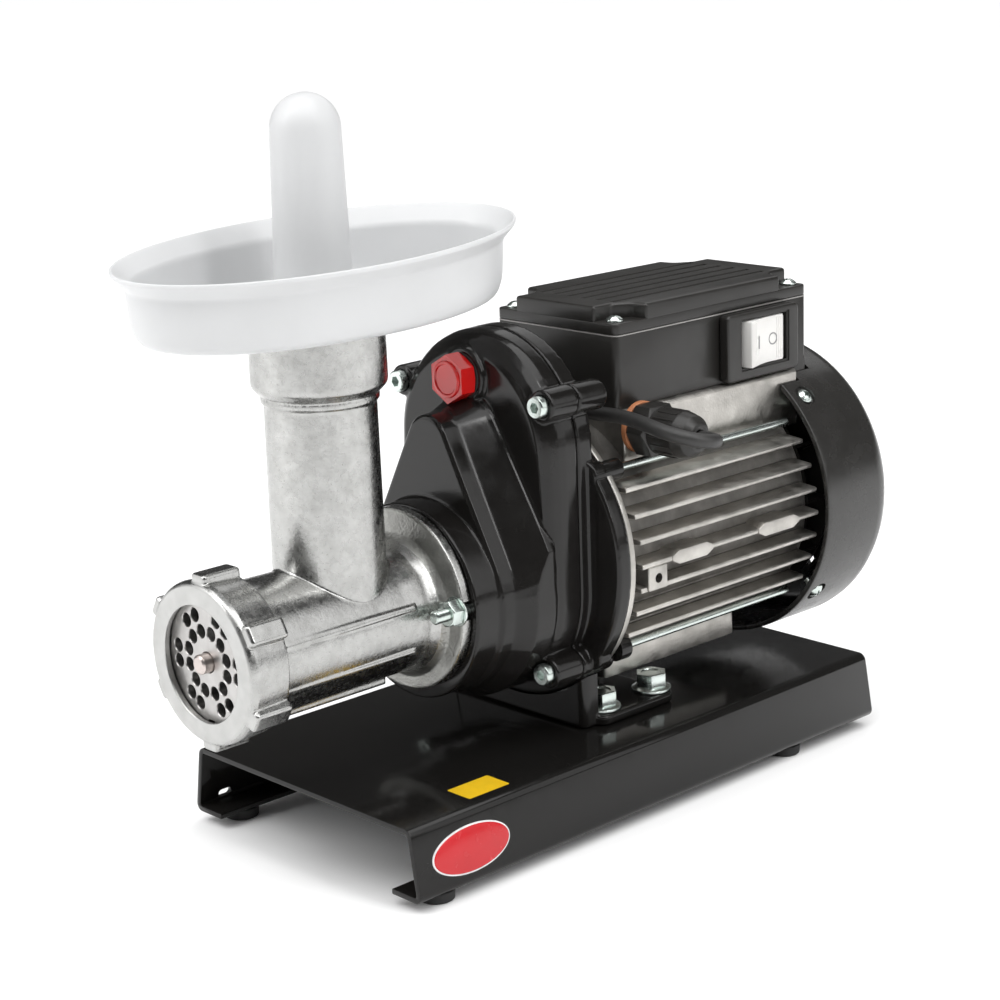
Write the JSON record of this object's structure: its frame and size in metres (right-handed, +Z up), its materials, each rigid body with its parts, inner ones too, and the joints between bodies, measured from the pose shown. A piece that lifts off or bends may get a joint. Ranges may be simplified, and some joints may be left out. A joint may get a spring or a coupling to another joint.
{
  "type": "electric meat grinder",
  "caption": "Electric meat grinder: cast head with ring nut, feed neck, oval tray and pusher, driven by a finned motor through a two-stage gearbox, on a folded steel base.",
  "frame": {"origin": "on the table, under the centre of the machine, the mains lead left out", "axes": "+Z up; -Y is the outlet end with the ring nut, +Y the motor fan end; +X the side with the switch and the cable gland"},
  "size_m": [0.2816, 0.4076, 0.3249],
  "materials": {
    "black_paint": "gloss",
    "rubber": "matt",
    "zinc": "bright zinc plate",
    "cast_aluminium": "tumbled casting",
    "steel": "satin",
    "frame_aluminium": "raw casting",
    "windings": "varnished copper and steel",
    "black_plastic": "satin",
    "white_plastic": "satin",
    "red_plastic": "gloss",
    "fibre": "matt",
    "cable": "matt"
  },
  "bodies": {
    "machine": {"base_plate": "black_paint", "bracket_bolt_1": "zinc", "bracket_bolt_2": "zinc", "bracket_bolt_3": "zinc", "bracket_bolt_4": "zinc", "cable_gland": "black_plastic", "capacitor": "white_plastic", "cord_coil": "cable", "fan_cover": "black_plastic", "fan_cover_screw_1": "zinc", "fan_cover_screw_2": "zinc", "fan_cover_screw_3": "zinc", "fan_cover_screw_4": "zinc", "gearbox_cover": "black_paint", "gearbox_housing": "black_paint", "gearbox_screw_1": "zinc", "gearbox_screw_2": "zinc", "gearbox_screw_3": "zinc", "gearbox_screw_4": "zinc", "gland_washer": "fibre", "grinder_head": "cast_aluminium", "grinding_plate": "steel", "head_nut_left": "zinc", "head_nut_right": "zinc", "head_stud_left": "zinc", "head_stud_right": "zinc", "lid_screw_1": "zinc", "lid_screw_2": "zinc", "lid_screw_3": "zinc", "lid_screw_4": "zinc", "mains_plug": "cable", "motor_bracket": "black_paint", "motor_frame": "frame_aluminium", "oil_plug": "red_plastic", "output_bearing": "steel", "power_cord": "cable", "rear_shield": "frame_aluminium", "rotor_bearing": "steel", "rubber_foot_1": "rubber", "rubber_foot_2": "rubber", "rubber_foot_3": "rubber", "rubber_foot_4": "rubber", "stator": "windings", "switch_body": "black_plastic", "terminal_box": "black_plastic", "terminal_lid": "black_plastic", "tie_rod_1": "zinc", "tie_rod_2": "zinc", "tie_rod_3": "zinc", "tie_rod_4": "zinc"},
    "rotor_body": {"rotor": "steel", "cooling_fan": "black_plastic"},
    "layshaft_body": {"layshaft": "steel"},
    "output_body": {"output_gear": "steel", "auger": "cast_aluminium", "knife": "steel"},
    "ring_body": {"ring_nut": "cast_aluminium"},
    "tray_body": {"tray": "white_plastic"},
    "pusher_body": {"pusher": "white_plastic"},
    "rocker_body": {"switch_rocker": "white_plastic"}
  },
  "joints": [
    {"name": "rotor_spin", "type": "hinge", "parent": "machine", "child": "rotor_body", "pos_m": [0, 0.08, 0.1131], "axis": [0, -1, 0], "continuous": true},
    {"name": "layshaft_spin", "type": "hinge", "parent": "machine", "child": "layshaft_body", "pos_m": [0, -0.003, 0.1656], "axis": [0, -1, 0], "continuous": true},
    {"name": "output_spin", "type": "hinge", "parent": "machine", "child": "output_body", "pos_m": [0, -0.1, 0.1026], "axis": [0, -1, 0], "continuous": true},
    {"name": "ring_nut_turn", "type": "hinge", "parent": "machine", "child": "ring_body", "pos_m": [0, -0.1576, 0.1026], "axis": [0, -1, 0], "range_deg": [0, 360]},
    {"name": "tray_lift", "type": "slide", "parent": "machine", "child": "tray_body", "axis": [0, 0, 1], "range_m": [0, 0.08]},
    {"name": "pusher_slide", "type": "slide", "parent": "machine", "child": "pusher_body", "axis": [0, 0, 1], "range_m": [0, 0.12]},
    {"name": "switch_rock", "type": "hinge", "parent": "machine", "child": "rocker_body", "pos_m": [0.0438, 0.1314, 0.1935], "axis": [0, 0, 1], "range_deg": [-16, 0]}
  ],
  "couplings": [
    {"joint": "layshaft_spin", "follows": "rotor_spin", "ratio": -0.2069},
    {"joint": "output_spin", "follows": "rotor_spin", "ratio": 0.089342}
  ]
}
